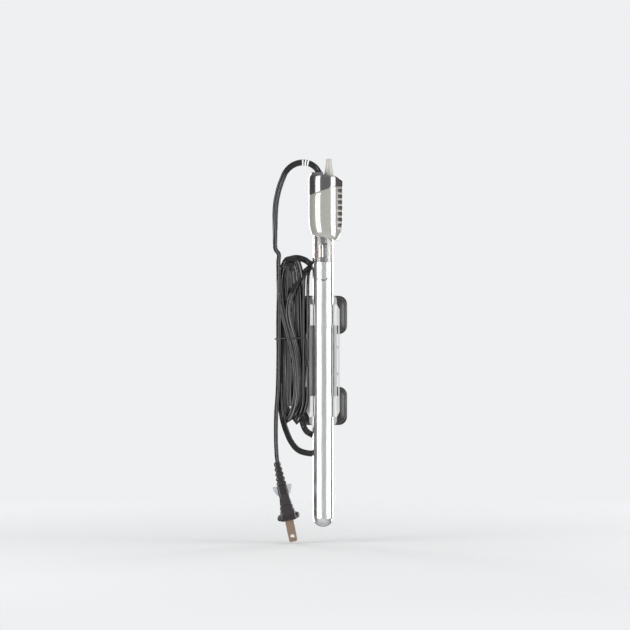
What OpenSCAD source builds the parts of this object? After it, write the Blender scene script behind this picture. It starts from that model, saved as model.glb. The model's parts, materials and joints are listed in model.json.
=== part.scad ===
// Submersible aquarium heater with its clip-on bracket, power cord and plug.
// Millimetres. +Z runs up the glass tube, +X to the right and +Y to the back, where the suction cups are.
// The origin is on the tube's axis, at the centre of its domed lower end.

/* [Glass tube] */
// Outer radius of the glass tube
tube_r = 8; // [7.8:0.05:8.1]
// Wall thickness of the glass
tube_wall = 1; // [0.8:0.05:1.1]
// Height of the tube's open end
tube_top = 224; // [223:0.5:225]
// Upper edge of the mirror lining
mirror_high = 193; // [180:1:194]

/* [Head] */
// Height of the head's lowest edge
head_low = 209.7; // [209:0.1:211]
// Height of the head's highest edge
head_high = 261.4; // [261:0.1:262]
// Radius of the head's round barrel
barrel_r = 12; // [11.8:0.1:12.4]
// Radius of the rounded nose beside the barrel
nose_r = 3; // [2.6:0.1:3.4]
// Distance from the tube's axis to the nose's centre
nose_x = 12.2; // [11.8:0.1:12.6]
// Wall thickness of the head's shells
head_wall = 1.6; // [1.2:0.1:1.8]

/* [Temperature dial] */
// Distance from the tube's axis to the dial's axis
dial_x = 4.4; // [4.2:0.1:4.5]
// Radius of the dial's foot
dial_foot_r = 3.9; // [3.4:0.05:3.9]
// Radius of the dial's tip
dial_tip_r = 2.1; // [2:0.1:3]
// Height of the dial
dial_h = 13; // [10:0.5:16]
// Radius of the dial's spindle
spindle_r = 1.5; // [1.4:0.05:1.6]

/* [Bracket] */
// Height of the bracket's middle
bracket_z = 118.2; // [117:0.1:120]
// Length of the bracket
bracket_length = 100.7; // [98:0.1:102]
// Half the bracket's width at its clips
clip_half_w = 12.6; // [12.2:0.1:12.8]
// Distance from the bracket's middle to each suction cup
cup_spacing = 34.8; // [33:0.1:36]

/* [Suction cups] */
// Width of a cup's rim
cup_w = 37; // [34:0.5:38]
// Height of a cup's rim
cup_h = 29.4; // [28:0.2:30]
// Distance from the tube's axis to the cups' sealing plane
cup_plane_y = 21; // [20:0.5:23]

/* [Power cord] */
// Width of the flat twin cord
cord_w = 4.6; // [4.2:0.1:4.8]
// Thickness of the flat twin cord
cord_t = 2.2; // [2:0.1:2.3]
// Depth of the bundle that the stowed cord makes
bundle_depth = 12.6; // [11:0.1:12.8]

/* [Hidden] */

$fn = 64;
eps = 0.01;
rub = 0.05;      // radial clearance of a turning or sliding fit
snug = 0.02;     // gap between pieces that are fixed to each other
tube_bore = tube_r - tube_wall;
far = 60;        // reach of cutting blocks beyond the shapes they cut

// ---------- shared shapes ----------

module disc(r, low, high) translate([0, 0, low]) cylinder(r = r, h = high - low);

module ring(outer, inner, low, high) difference() {
    disc(outer, low, high);
    disc(inner, low - 1, high + 1);
}

// Extrudes a profile drawn in the X and Z directions, centred on Y.
module front_profile(depth) rotate([90, 0, 0]) linear_extrude(depth, center = true) children();

// A rectangle with round corners.
module round_rect(w, h, r) {
    square([w - 2 * r, h], center = true);
    square([w, h - 2 * r], center = true);
    for (sx = [-1, 1], sy = [-1, 1])
        translate([sx * (w / 2 - r), sy * (h / 2 - r)]) circle(r = r);
}

// ---------- glass tube and what it holds ----------

module glass_tube() color("lightcyan", 0.35) difference() {
    union() {
        disc(tube_r, 0, tube_top);
        sphere(r = tube_r);
    }
    union() {
        disc(tube_bore, 0, tube_top + 1);
        sphere(r = tube_bore);
    }
}

lining_t = 0.2;
lining_r = tube_bore - rub;
bore_clear = lining_r - lining_t - rub;   // radius free for everything inside the lining

// A thin reflecting cup that follows the tube's wall and dome.
module mirror_lining() color("gainsboro") difference() {
    union() {
        disc(lining_r, 0, mirror_high);
        sphere(r = lining_r);
    }
    union() {
        disc(lining_r - lining_t, 0, mirror_high + 1);
        sphere(r = lining_r - lining_t);
    }
}

cushion_low = -5.2;
cushion_high = -1.8;
spacer_t = 1.6;
core_low = spacer_t;
core_high = 92;
core_r = 4.5;
core_bore = 1.1;
groove_r = 0.6;
groove_count = 6;
cushion_r = 4;
cushion_bore = 1;

module end_cushion() color("white") ring(cushion_r, cushion_bore, cushion_low, cushion_high);

// A ceramic disc with a centre hole and two holes for the support rods.
module spacer(low) difference() {
    ring(bore_clear, core_bore, low, low + spacer_t);
    for (side = [-1, 1])
        translate([side * rod_x, 0, 0]) disc(rod_r + snug, low - 1, low + spacer_t + 1);
}

rod_x = 5.95;
rod_r = 0.45;
rod_top = 118;

module lower_spacer() color("ivory") spacer(core_low - spacer_t);

module upper_spacer() color("ivory") spacer(core_high);

module support_rods() color("silver")
    for (side = [-1, 1])
        translate([side * rod_x, 0, 0]) disc(rod_r, core_low - spacer_t, rod_top);

module ceramic_core() color("ivory") difference() {
    ring(core_r, core_bore, core_low, core_high);
    for (i = [0 : groove_count - 1])
        rotate([0, 0, (i + 0.5) * 360 / groove_count])
            translate([core_r, 0, 0]) disc(groove_r, core_low - 1, core_high + 1);
}

wire_r = 0.3;
coil_gap = 0.08;     // keeps the helix's straight stretches off the core
coil_r = core_r + wire_r + coil_gap;
coil_low = 8;
coil_pitch = 4.4;
coil_turns = 17;
coil_steps = 18;     // straight stretches in one turn
wire_sides = 6;

function coil_point(i, side) =
    let (turn = i / coil_steps, a = 360 * turn, b = 360 * side / wire_sides)
    [(coil_r + wire_r * cos(b)) * cos(a), (coil_r + wire_r * cos(b)) * sin(a),
     coil_low + coil_pitch * turn + wire_r * sin(b)];

// The resistance wire is wound round the ceramic core as a helix.
module heating_coil() color("dimgray") {
    last = coil_turns * coil_steps;
    points = [for (i = [0 : last], s = [0 : wire_sides - 1]) coil_point(i, s)];
    walls = [
        for (i = [0 : last - 1], s = [0 : wire_sides - 1])
            let (t = (s + 1) % wire_sides, a = i * wire_sides, b = a + wire_sides)
            [a + s, b + s, b + t, a + t]
    ];
    first_cap = [for (s = [0 : wire_sides - 1]) s];
    last_cap = [for (s = [wire_sides - 1 : -1 : 0]) last * wire_sides + s];
    polyhedron(points, concat(walls, [first_cap, last_cap]));
}

shield_low = 100;
shield_t = 0.8;
capacitor_x = 1;
capacitor_z = 107;
capacitor_r = 3.4;
capacitor_t = 3;

module heat_shield() color("wheat") difference() {
    disc(bore_clear, shield_low, shield_low + shield_t);
    for (side = [-1, 1])
        translate([side * rod_x, 0, 0]) disc(rod_r + snug, shield_low - 1, shield_low + 2);
    for (wire = [live_wire_y, neutral_wire_y])
        translate([wire_x, wire, 0]) disc(lead_r + snug, shield_low - 1, shield_low + 2);
}

module suppression_capacitor() color("chocolate")
    translate([capacitor_x, 0, capacitor_z]) rotate([90, 0, 0])
        cylinder(r = capacitor_r, h = capacitor_t, center = true);

// ---------- thermostat ----------

frame_y = 3;         // front face of the thermostat's base strip
frame_t = 1.2;
frame_low = rod_top + snug;
frame_high = 190;
frame_half_w = 4.4;
pivot_z = 180;       // height of the contact arm's pivot
pivot_x = -0.6;
pivot_r = 0.6;
pin_past = 0.8;      // length of pin that shows in front of the arm
arm_half_d = 1.2;    // half the arm's depth
contact_z = 162;
contact_r = 1.1;
contact_dome_r = 3;
contact_gap = 0.06;
face_x = -1.2;       // where the two contacts meet
strip_t = 0.5;
strip_half_w = 1;
strip_above = 3;     // length of strip above its contact
strip_low = 124;     // top of the clamp that holds the strip
strip_grip = 1.6;    // length of strip inside the clamp
strip_gap = 0.12;    // side room that lets the strip tilt in its clamp
strip_x = face_x - 1.4;
clamp_half_w = 1.4;
clamp_half_d = 1.5;
foot_t = 2;
foot_half_d = 1.2;
shelf_half_d = 2.2;
shelf_x = 1.6;       // left end of the nut's shelf
nut_r = 1.75;
nut_h = 2.6;
screw_r = 1.4;
screw_low = pivot_z + 1.9;
screw_high = 192;

module thermostat_frame() color("tan") intersection() {
    disc(bore_clear, frame_low, frame_high);
    difference() {
        union() {
            translate([-frame_half_w, frame_y, frame_low])
                cube([2 * frame_half_w, frame_t, frame_high - frame_low]);
            // foot that stands on the support rods
            translate([-far / 2, -foot_half_d, frame_low])
                cube([far, frame_y + foot_half_d + eps, foot_t]);
            // block that the bimetal strip is clamped in
            translate([strip_x - clamp_half_w, -clamp_half_d, frame_low])
                cube([2 * clamp_half_w, frame_y + clamp_half_d + eps, strip_low - frame_low]);
            // shelf that the threaded nut sits in
            translate([shelf_x, -shelf_half_d, frame_high - nut_h])
                cube([far, frame_y + shelf_half_d + eps, nut_h]);
        }
        translate([
            strip_x - strip_t / 2 - strip_gap, -strip_half_w - rub - far, strip_low - strip_grip - rub
        ]) cube([strip_t + 2 * strip_gap, 2 * (strip_half_w + rub) + far, far]);
        translate([dial_x, 0, 0]) disc(nut_r + snug, frame_high - nut_h - 1, frame_high + 1);
        translate([wire_x, neutral_wire_y, 0]) disc(lead_r + snug, frame_low - 1, frame_high + 1);
    }
}

module screw_nut() color("gold") translate([dial_x, 0, 0])
    ring(nut_r, screw_r + rub, frame_high - nut_h, frame_high);

module bimetal_strip() color("peru")
    translate([strip_x - strip_t / 2, -strip_half_w, strip_low - strip_grip])
        cube([strip_t, 2 * strip_half_w, contact_z + strip_above - strip_low + strip_grip]);

// A rivet with a domed face, pointing along +X from its flat back at x = 0.
module contact_rivet(length) intersection() {
    rotate([0, 90, 0]) cylinder(r = contact_r, h = length);
    translate([length - contact_dome_r, 0, 0]) sphere(r = contact_dome_r);
}

module bimetal_contact() color("silver")
    translate([strip_x + strip_t / 2, 0, contact_z])
        contact_rivet(face_x - contact_gap / 2 - strip_x - strip_t / 2);

arm_x = face_x + 1.15;       // contact arm's face on the contact's side
arm_t = 0.7;
arm_leg_up = 0.9;            // level leg's height above the pivot
arm_leg_t = 0.8;
arm_leg_past = 0.9;          // level leg's reach past the screw's axis
arm_hub_r = 1.5;
arm_below = 2;               // upright leg's length below the contact
magnet_t = 1.1;
magnet_half_d = 1;
magnet_up = 5;               // magnet's height above the contact
magnet_h = 2.4;
screw_tip_r = 0.5;
screw_tip_h = 0.8;

module contact_arm() color("goldenrod") difference() {
    union() {
        // upright leg
        translate([arm_x, -arm_half_d, contact_z - arm_below])
            cube([arm_t, 2 * arm_half_d, pivot_z - contact_z + arm_below]);
        // level leg under the screw's tip
        translate([pivot_x, -arm_half_d, pivot_z + arm_leg_up])
            cube([dial_x + arm_leg_past - pivot_x, 2 * arm_half_d, arm_leg_t]);
        // hub round the pivot
        translate([pivot_x, 0, pivot_z]) rotate([90, 0, 0])
            cylinder(r = arm_hub_r, h = 2 * arm_half_d, center = true);
    }
    translate([pivot_x, 0, pivot_z]) rotate([90, 0, 0])
        cylinder(r = pivot_r + rub, h = far, center = true);
}

module arm_contact() color("silver")
    translate([arm_x, 0, contact_z]) mirror([1, 0, 0])
        contact_rivet(arm_x - face_x - contact_gap / 2);

module arm_pivot_pin() color("silver")
    translate([pivot_x, frame_y, pivot_z]) rotate([90, 0, 0])
        cylinder(r = pivot_r, h = frame_y + arm_half_d + pin_past);

module snap_magnet() color("dimgray")
    translate([arm_x - magnet_t, -magnet_half_d, contact_z + magnet_up])
        cube([magnet_t, 2 * magnet_half_d, magnet_h]);

// The screw has a slot in its head, which the spindle's blade turns.
module adjusting_screw() color("gold") translate([dial_x, 0, 0]) difference() {
    union() {
        disc(screw_r, screw_low + screw_tip_h, screw_high);
        translate([0, 0, screw_low]) cylinder(r1 = screw_tip_r, r2 = screw_r, h = screw_tip_h + eps);
    }
    translate([-screw_r - 1, -blade_half_t - rub, screw_high - slot_depth])
        cube([2 * screw_r + 2, 2 * (blade_half_t + rub), slot_depth + 1]);
}

blade_half_t = 0.35;
slot_depth = 1.8;
screw_travel = 0.5;          // room that the screw needs to rise under the spindle

// ---------- leads and lamp ----------

lead_r = 0.45;
wire_x = -4.6;
live_wire_y = -2.2;
neutral_wire_y = 1.4;
lead_low = core_high + spacer_t + 1;
lead_top = 236;
lamp_x = -1.4;
lamp_y = -4.2;
lamp_r = 1.7;
lamp_low = 197;
lamp_high = 205;
resistor_y = 4.4;
resistor_r = 1.2;
resistor_high = 204;

module live_wire() color("saddlebrown")
    translate([wire_x, live_wire_y, 0]) disc(lead_r, lead_low, lead_top);

module neutral_wire() color("royalblue")
    translate([wire_x, neutral_wire_y, 0]) disc(lead_r, lead_low, lead_top);

module indicator_lamp() color("orange") translate([lamp_x, lamp_y, 0]) {
    disc(lamp_r, lamp_low, lamp_high);
    translate([0, 0, lamp_high]) sphere(r = lamp_r);
}

module lamp_resistor() color("burlywood")
    translate([lamp_x, resistor_y, 0]) disc(resistor_r, lamp_low, resistor_high);

// ---------- head ----------

barrel_x = nose_x - 11.5;
flank_angle = acos((barrel_r - nose_r) / (nose_x - barrel_x));
envelope_x = 2;
seat_z = head_high - 3;      // flat seat under the dial
pocket_low = head_low + 11;
pocket_high = head_low + 15.1;

// Outline of the head seen from above: a barrel, a nose and the two flats between them.
module head_outline(inset) {
    big = barrel_r - inset;
    small = nose_r - inset;
    c = cos(flank_angle);
    s = sin(flank_angle);
    translate([barrel_x, 0]) circle(r = big);
    translate([nose_x, 0]) circle(r = small);
    polygon([
        [barrel_x + big * c, -big * s], [nose_x + small * c, -small * s],
        [nose_x + small * c, small * s], [barrel_x + big * c, big * s]
    ]);
}

foot_x = 11.7;
foot_slope = 0.17;

// Side view of the head. Its foot rises to the left.
// Its roof slopes down from the dial's seat to the nose.
module head_side(inset) front_profile(far) polygon([
    [-far, head_low + foot_slope * (foot_x + far)], [foot_x, head_low], [far, head_low],
    [far, head_high - 12 - inset],
    [15.4, head_high - 7.2 - inset], [13.6, head_high - 5.6 - inset], [8.6, seat_z - inset],
    [0.3, seat_z - inset], [0, head_high - inset], [-far, head_high - inset]
]);

// Round envelope that draws the head in at its lower and upper edges.
module head_envelope(inset) translate([envelope_x, 0, 0]) rotate_extrude() polygon([
    [0, head_low], [9.2 - inset, head_low], [10.8 - inset, head_low + 4.5],
    [12 - inset, head_low + 9.2], [13 - inset, head_low + 14], [13.4 - inset, head_low + 20],
    [13.4 - inset, head_high - 6], [12.6 - inset, head_high - 4], [10.8 - inset, head_high - inset],
    [0, head_high - inset]
]);

module head_form(inset) intersection() {
    translate([0, 0, head_low]) linear_extrude(head_high - head_low) head_outline(inset);
    head_envelope(inset);
    head_side(inset);
}

module head_cavity() intersection() {
    head_form(head_wall);
    translate([-far, -far, pocket_high - eps]) cube([2 * far, 2 * far, far]);
}

// Everything under the slanting joint between the shell and the cover.
module below_joint(gap) front_profile(far + 2) polygon([
    [-far, head_low - 5], [far, head_low - 5], [far, joint_z(joint_x) - gap],
    [joint_x, joint_z(joint_x) - gap], [-far, joint_z(-far) - gap]
]);

joint_x = 9;                 // the joint is level to the right of this
joint_level = head_high - 11;
joint_slope = 0.34;

function joint_z(x) = joint_level + joint_slope * (x - joint_x);

module head_shell() color([0.66, 0.66, 0.63]) intersection() {
    difference() {
        head_form(0);
        head_cavity();
        disc(tube_r + rub, head_low - 1, pocket_low + 1);
        disc(seal_r + snug, pocket_low, pocket_high + 1);
    }
    below_joint(0);
}

module head_top_cover() color([0.25, 0.25, 0.25]) difference() {
    head_form(0);
    head_cavity();
    below_joint(-snug);
    translate([dial_x, 0, 0]) disc(spindle_r + rub, seat_z - 5, seat_z + 1);
    translate([cord_exit_x, 0, 0]) disc(grommet_r + snug, head_high - 5, head_high + 1);
}

// The flat on the nose's front flank, with local X along it and local -Y facing out of it.
module on_flank() translate([
    (barrel_x + nose_x + (barrel_r + nose_r) * cos(flank_angle)) / 2,
    -(barrel_r + nose_r) * sin(flank_angle) / 2, 0
]) rotate([0, 0, 90 - flank_angle]) children();

panel_w = 6;
panel_t = 0.4;
rib_w = 4.8;
rib_t = 0.3;
rib_count = 7;
rib_pitch = 4.4;
rib_h = 2.9;
rib_low = head_low + 5.4;

// A skin between two offsets of the head's surface.
module head_skin(inner, outer) difference() {
    intersection() {
        translate([0, 0, head_low]) linear_extrude(far) head_outline(-outer);
        head_envelope(-outer);
    }
    translate([0, 0, head_low - 1]) linear_extrude(far) head_outline(-inner);
}

module side_panel() color([0.7, 0.7, 0.68]) intersection() {
    head_skin(snug, panel_t);
    on_flank() translate([-panel_w / 2, -3, head_low + 10])
        cube([panel_w, 6, joint_level - head_low - 11]);
}

module side_ribs() color([0.2, 0.19, 0.19]) intersection() {
    head_skin(panel_t + snug, panel_t + rib_t);
    on_flank() for (i = [1 : rib_count])
        translate([-rib_w / 2, -3, rib_low + i * rib_pitch]) cube([rib_w, 6, rib_h]);
}

seal_r = 9.4;

module tube_seal() color([0.15, 0.15, 0.15])
    ring(seal_r, tube_r + snug, pocket_low + snug, pocket_high - 2);

module clamp_collar() color("whitesmoke")
    ring(seal_r, tube_r + snug, pocket_high - 2 + snug, pocket_high + 0.8);

stopper_low = tube_top - 11;
flange_t = 2.4;
o_ring_wire_r = 0.7;
o_ring_r = spindle_r + rub + o_ring_wire_r;
o_ring_z = tube_top + flange_t - 1.4;

module tube_stopper() color([0.2, 0.2, 0.2]) difference() {
    union() {
        disc(tube_bore - snug, stopper_low, tube_top + snug);
        disc(tube_r, tube_top + snug, tube_top + flange_t);
    }
    translate([dial_x, 0, 0]) {
        disc(spindle_r + rub, stopper_low - 1, tube_top + flange_t + 1);
        disc(o_ring_r + o_ring_wire_r + snug, o_ring_z - o_ring_wire_r - snug, tube_top + 5);
    }
    for (y = [live_wire_y, neutral_wire_y])
        translate([wire_x, y, 0]) disc(lead_r + snug, stopper_low - 1, tube_top + flange_t + 1);
}

module spindle_o_ring() color("black")
    translate([dial_x, 0, o_ring_z]) rotate_extrude() translate([o_ring_r, 0]) circle(r = o_ring_wire_r);

// ---------- temperature dial ----------

dial_low = seat_z + 0.2;
dial_bore_depth = 9;
dial_foot_t = 1;
dial_round = 0.6;            // height of the bevel round the tip

module temperature_dial() color([0.78, 0.77, 0.74]) translate([dial_x, 0, 0]) difference() {
    union() {
        disc(dial_foot_r, dial_low, dial_low + dial_foot_t);
        translate([0, 0, dial_low + dial_foot_t])
            cylinder(r1 = dial_foot_r - 0.2, r2 = dial_tip_r, h = dial_h - dial_foot_t - dial_round);
        translate([0, 0, dial_low + dial_h - dial_round])
            cylinder(r1 = dial_tip_r, r2 = dial_tip_r - 0.5, h = dial_round);
    }
    disc(spindle_r + snug, dial_low - 1, dial_low + dial_bore_depth);
}

module dial_spindle() color("silver") translate([dial_x, 0, 0]) {
    disc(spindle_r, screw_high + screw_travel, dial_low + dial_bore_depth - 0.2);
    // blade that fits the screw's slot
    intersection() {
        disc(screw_r, screw_high - slot_depth + 0.6, screw_high + screw_travel + eps);
        translate([-screw_r, -blade_half_t, 0]) cube([2 * screw_r, 2 * blade_half_t, tube_top]);
    }
}

// ---------- power cord ----------

cord_exit_x = -3.15;
grommet_r = 3;
arch_top_x = -15;
arch_top_z = 268.9;
arch_out_r = 13;             // bend between the head and the arch's highest point
arch_mid_r = 16;             // tighter bend beyond the highest point
arch_far_r = 74;             // gentle bend down into the upright run
arch_far_turn = 25;
run_x = arch_top_x - arch_mid_r * cos(arch_far_turn) - arch_far_r * (1 - cos(arch_far_turn));
run_top = arch_top_z - arch_mid_r * (1 - sin(arch_far_turn)) - arch_far_r * sin(arch_far_turn);
cord_inside = 16;            // length of cord inside the head
plug_tilt = 12;
plug_bend_r = 60;
plug_x = run_x + plug_bend_r * (1 - cos(plug_tilt));
plug_z = 41.2;               // height of the plug's end of the cord
run_low = plug_z + plug_bend_r * sin(plug_tilt);

joint_gap = 0.02;            // space between two lengths of cord
joint_half_l = 0.3;          // half the length of the band that closes each joint
joint_grow = 0.04;           // how far that band stands out

// The cord's section, with its width along X.
module cord_section(grow = 0) {
    square([cord_w - cord_t, cord_t + 2 * grow], center = true);
    for (side = [-1, 1])
        translate([side * (cord_w - cord_t) / 2, 0]) circle(r = cord_t / 2 + grow);
}

module cord_joint()
    translate([0, 0, -joint_half_l]) linear_extrude(2 * joint_half_l) cord_section(joint_grow);

// Lays the cord along +Z, step by step. A step is [length, 0] for a straight run or
// [radius, turn] for a bend, which turns towards +X when its turn is positive.
module cord_path(steps, i = 0) {
    if (i > 0 && i < len(steps)) cord_joint();
    if (i < len(steps)) translate([0, 0, joint_gap / 2]) {
        size = steps[i][0];
        turn = steps[i][1];
        if (turn == 0) {
            linear_extrude(size) cord_section();
            translate([0, 0, size + joint_gap / 2]) cord_path(steps, i + 1);
        } else {
            centre = sign(turn) * size;
            translate([centre, 0, 0]) {
                rotate([-90, 0, 0]) rotate([0, 0, turn > 0 ? 180 : turn])
                    rotate_extrude(angle = abs(turn)) translate([size, 0]) cord_section();
                rotate([0, turn, 0]) translate([-centre, 0, joint_gap / 2])
                    cord_path(steps, i + 1);
            }
        }
    }
}

bundle_x = -24.6;
bundle_half_w = 11.3;
bundle_low = 69.5;
bundle_high = 193;
bundle_slot_half_w = 2;
bundle_back = 10.8;
bundle_y = bundle_back - bundle_depth / 2;
back_strand_y = bundle_back - cord_t / 2 - 0.05;   // plane of the strands that pass behind the tube

// From inside the head, over the arch and down to the plug.
module cord_main() translate([arch_top_x + arch_out_r, 0, arch_top_z - arch_out_r - cord_inside])
    cord_path([
        [cord_inside, 0], [arch_out_r, -90], [arch_mid_r, arch_far_turn - 90],
        [arch_far_r, -arch_far_turn], [run_top - run_low, 0], [plug_bend_r, -plug_tilt], [3, 0]
    ]);

// An upright slab with round ends.
module upright_slot(half_w, low, high) {
    translate([-half_w, low + half_w]) square([2 * half_w, high - low - 2 * half_w]);
    for (z = [low + half_w, high - half_w]) translate([0, z]) circle(r = half_w);
}

// The space that the hanging loops fill.
module cord_bundle() translate([bundle_x, bundle_y, 0]) front_profile(bundle_depth) difference() {
    upright_slot(bundle_half_w, bundle_low, bundle_high);
    upright_slot(bundle_slot_half_w, bundle_low + 9, bundle_high - 9);
}

// The strand that sweeps from the bundle's foot behind the tube and turns back.
module cord_sweep() {
    sweep_x = -30.2;
    sweep_z = 68.5;
    sweep_r = 21;
    hidden_run = 3.2;
    uturn_r = 5.6;
    back_r = 4;
    back_run = 8;
    translate([sweep_x, back_strand_y, sweep_z + 30]) rotate([0, 180, 0]) cord_path([
        [30, 0], [sweep_r, -90], [hidden_run, 0], [uturn_r, -180], [back_run, 0],
        [back_r, 90], [20, 0]
    ]);
}

// The strand that arches over the bundle to the tube, turns behind it and goes back down.
module cord_upper_arch() {
    low = 150;
    rise = 20.7;
    translate([bundle_x - 9, back_strand_y, low]) cord_path([
        [rise, 0], [27, 60], [8, 50], [8, 0], [3.4, 160], [5, 0], [12, -90], [20, 0]
    ]);
}

module power_cord() color([0.13, 0.12, 0.12]) {
    cord_main();
    cord_sweep();
    cord_upper_arch();
    cord_bundle();
}

// Rubber sleeve that seals the cord where it leaves the head.
module cord_grommet() color([0.1, 0.1, 0.1]) difference() {
    translate([cord_exit_x, 0, 0]) disc(grommet_r, head_high - 4.5, head_high + 0.4);
    cord_main();
}

tie_z = 134.5;
tie_t = 0.35;
tie_left = run_x - cord_w / 2;
tie_right = bundle_x + bundle_half_w;

// Outline of the bundle, seen from above, with room around it.
module bundle_outline(room) translate([(tie_left + tie_right) / 2, bundle_y])
    round_rect(tie_right - tie_left + 2 * room, bundle_depth + 2 * room, room);

// A thin tie round the whole bundle.
module cord_tie() color("gray") translate([0, 0, tie_z]) linear_extrude(1.2) difference() {
    bundle_outline(rub + tie_t);
    bundle_outline(rub);
}

// ---------- plug ----------

relief_l = 18.6;
collar_l = 6.6;
plug_l = 45;
blade_w = 6.35;
blade_t = 1.5;
blade_l = 16.4;
blade_root = 7;
blade_spacing = 12.7;
blade_hole_r = 1.6;
blade_hole_in = 4;           // hole's distance from the blade's tip
groove_t = 0.8;
relief_cut_t = 1.2;
relief_pitch = 3.6;

// The plug's own frame: local -Z runs from the cord to the blades.
module in_plug() translate([plug_x, 0, plug_z]) rotate([0, -plug_tilt, 0]) children();

// Prism of a half outline given as pairs of half width and distance from the cord.
module plug_prism(half_outline, depth) front_profile(depth) polygon(concat(
    [for (p = half_outline) [p.x, -p.y]],
    [for (i = [len(half_outline) - 1 : -1 : 0]) [-half_outline[i].x, -half_outline[i].y]]
));

narrow_side = [
    [2.7, 0], [4, relief_l], [4, 24.8], [3.7, 26], [5.7, 39.4], [8.6, 40.6], [8.6, 43.8], [5.9, plug_l]
];
wide_side = [
    [2.7, 0], [4, relief_l], [4.4, 25], [10.4, 37], [11.6, 40.5], [11.6, 43.6], [10.6, plug_l]
];

module blade(grow) difference() {
    translate([-blade_w / 2 - grow, -blade_t / 2 - grow, -plug_l - blade_l])
        cube([blade_w + 2 * grow, blade_t + 2 * grow, blade_l + blade_root + grow]);
    if (grow == 0)
        translate([0, 0, -plug_l - blade_l + blade_hole_in]) rotate([90, 0, 0])
            cylinder(r = blade_hole_r, h = 4, center = true);
}

module both_blades(grow)
    for (side = [-1, 1]) translate([0, side * blade_spacing / 2, 0]) blade(grow);

module plug_body() color([0.14, 0.14, 0.15]) difference() {
    in_plug() difference() {
        intersection() {
            plug_prism(narrow_side, far);
            rotate([0, 0, 90]) plug_prism(wide_side, far);
        }
        both_blades(snug);
        // shallow grooves across the grip
        for (s = [33.4, 36.4])
            for (side = [-1, 1])
                translate([side * 7.2 - 2, -far / 2, -s]) cube([4, far, groove_t]);
        for (i = [0 : 3]) for (side = [-1, 1])
            translate([side * 4.9 - 1.2, -2, -5 - relief_pitch * i]) cube([2.4, 4, relief_cut_t]);
    }
    cord_main();
}

// Two flared wings where the cord's strain relief meets the plug.
module plug_collar() color([0.62, 0.64, 0.66]) in_plug() difference() {
    plug_prism([[7.3, relief_l - 0.2], [4.9, relief_l + collar_l]], 6.4);
    cube([8 + 2 * snug, far, far * 2], center = true);
}

module plug_blades() color([0.72, 0.62, 0.5]) in_plug() both_blades(0);

// ---------- bracket and suction cups ----------

plate_y = 11.2;
plate_t = 2.2;
end_half_w = 10.6;
clip_half_l = 8;
clip_outer = 10.2;
clip_tip_y = -2.6;
rail_in = 8.5;
rail_w = 2;
edge_w = 1.1;
rail_front = 1.5;
button_r = 4.6;
neck_r = 3;
cross_rib_z = 10.2;

module at_cups() for (side = [-1, 1]) translate([0, 0, bracket_z + side * cup_spacing]) children();

// Front outline of a clip, with bevelled outer corners towards the bracket's end.
module clip_outline(dir) {
    bevel = 4;
    polygon([
        [-clip_half_w, -dir * clip_half_l], [clip_half_w, -dir * clip_half_l],
        [clip_half_w, dir * (clip_half_l - bevel)], [end_half_w, dir * clip_half_l],
        [-end_half_w, dir * clip_half_l], [-clip_half_w, dir * (clip_half_l - bevel)]
    ]);
}

module clip(dir) difference() {
    union() {
        // side cheeks
        translate([0, plate_y - 3.4, 0]) front_profile(9.4) clip_outline(dir);
        translate([0, 0, -clip_half_l]) cylinder(r = clip_outer, h = 2 * clip_half_l);
    }
    translate([0, 0, -far]) cylinder(r = tube_r + rub, h = 2 * far);
    translate([-far, clip_tip_y - far, -far]) cube([2 * far, far, 2 * far]);
    // pocket for the suction cup's button
    rotate([-90, 0, 0]) cylinder(r = button_r + 0.4, h = plate_y);
}

module bracket_plate() translate([0, plate_y + plate_t / 2, bracket_z])
    front_profile(plate_t) round_rect(2 * end_half_w, bracket_length, 5);

module bracket() color([0.86, 0.87, 0.86]) difference() {
    union() {
        bracket_plate();
        translate([0, 0, bracket_z + cup_spacing]) clip(1);
        translate([0, 0, bracket_z - cup_spacing]) clip(-1);
        span = 2 * (cup_spacing - clip_half_l) + 2 * eps;
        for (side = [-1, 1]) {
            // rails between the clips
            translate([side * (rail_in + rail_w / 2) - rail_w / 2, rail_front, bracket_z - span / 2])
                cube([rail_w, plate_y + plate_t - rail_front, span]);
            translate([side * (clip_half_w - edge_w / 2) - edge_w / 2, plate_y - 3, bracket_z - span / 2])
                cube([edge_w, plate_t + 3, span]);
            // cross ribs that tie the rails together
            translate([-clip_half_w, plate_y - 1.6, bracket_z + side * cross_rib_z - 0.8])
                cube([2 * clip_half_w, 1.6 + plate_t, 1.6]);
        }
    }
    at_cups() rotate([-90, 0, 0]) cylinder(r = neck_r + rub, h = far);
}

// A soft cup with a neck and a button, along +Y from the tube to the sealing plane.
module suction_cup() difference() {
    union() {
        rotate([-90, 0, 0]) translate([0, 0, tube_r + 0.5])
            cylinder(r = button_r, h = plate_y - tube_r - 0.6);
        rotate([-90, 0, 0]) translate([0, 0, tube_r + 1]) cylinder(r = neck_r, h = 7);
        // stepped dome, wider towards the rim
        for (step = [0 : cup_steps - 1])
            translate([0, cup_step_y(step) + cup_step_t / 2, 0])
                front_profile(cup_step_t + (step < cup_steps - 1 ? eps : 0))
                    round_rect(cup_w - cup_inset(step), cup_h - cup_inset(step), cup_corner);
    }
    // hollow behind the rim
    translate([0, cup_plane_y, 0]) front_profile(2 * cup_hollow)
        round_rect(cup_w - 6, cup_h - 6, cup_corner - 1.5);
}

cup_front_y = plate_y + plate_t + 0.2;
cup_steps = 4;
cup_step_t = (cup_plane_y - cup_front_y) / cup_steps;
cup_hollow = 2.4;
cup_corner = 6.5;

function cup_step_y(step) = cup_front_y + step * cup_step_t;

function cup_inset(step) = 6 * pow((cup_steps - 1 - step) / (cup_steps - 1), 2);

module suction_cup_upper() color([0.2, 0.2, 0.2])
    translate([0, 0, bracket_z + cup_spacing]) suction_cup();

module suction_cup_lower() color([0.2, 0.2, 0.2])
    translate([0, 0, bracket_z - cup_spacing]) suction_cup();

// ---------- assembly ----------

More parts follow.
